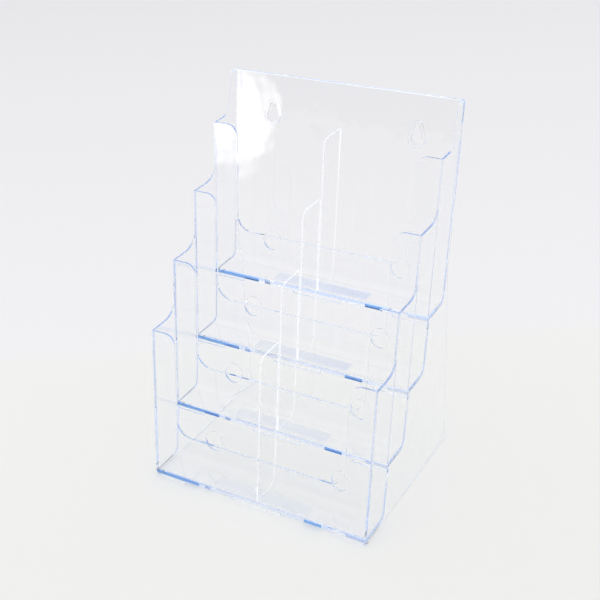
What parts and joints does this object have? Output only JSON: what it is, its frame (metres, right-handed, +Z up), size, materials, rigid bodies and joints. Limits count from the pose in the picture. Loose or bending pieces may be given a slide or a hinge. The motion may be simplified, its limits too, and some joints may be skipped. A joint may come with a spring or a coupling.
{
  "type": "magazine rack",
  "caption": "Clear stepped magazine rack with open-fronted pockets and lift-out dividers, standing on a table or hung from keyholes in its back.",
  "frame": {"origin": "on the ground, at the middle of the rack's outer box", "axes": "+X to the viewer's right, +Y towards the back, +Z up; the pockets open towards -Y and +Z"},
  "size_m": [0.2384, 0.2026, 0.3522],
  "materials": {
    "pocket": "clear gloss, edges tinted pale blue, with a lightly grained patch in each floor",
    "side_panel": "clear gloss, edges tinted pale blue",
    "divider": "clear gloss"
  },
  "bodies": {
    "rack": {"pocket_tier_1": "pocket", "pocket_tier_2": "pocket", "pocket_tier_3": "pocket", "pocket_tier_4": "pocket", "left_side_panel": "side_panel", "right_side_panel": "side_panel"},
    "divider_1_body": {"divider_1": "divider"},
    "divider_2_body": {"divider_2": "divider"},
    "divider_3_body": {"divider_3": "divider"},
    "divider_4_body": {"divider_4": "divider"}
  },
  "joints": [
    {"name": "divider_1_lift", "type": "slide", "parent": "rack", "child": "divider_1_body", "axis": [0, 0.1695, 0.9855], "range_m": [0, 0.19]},
    {"name": "divider_2_lift", "type": "slide", "parent": "rack", "child": "divider_2_body", "axis": [0, 0.1695, 0.9855], "range_m": [0, 0.15]},
    {"name": "divider_3_lift", "type": "slide", "parent": "rack", "child": "divider_3_body", "axis": [0, 0.1695, 0.9855], "range_m": [0, 0.15]},
    {"name": "divider_4_lift", "type": "slide", "parent": "rack", "child": "divider_4_body", "axis": [0, 0.1695, 0.9855], "range_m": [0, 0.15]}
  ]
}
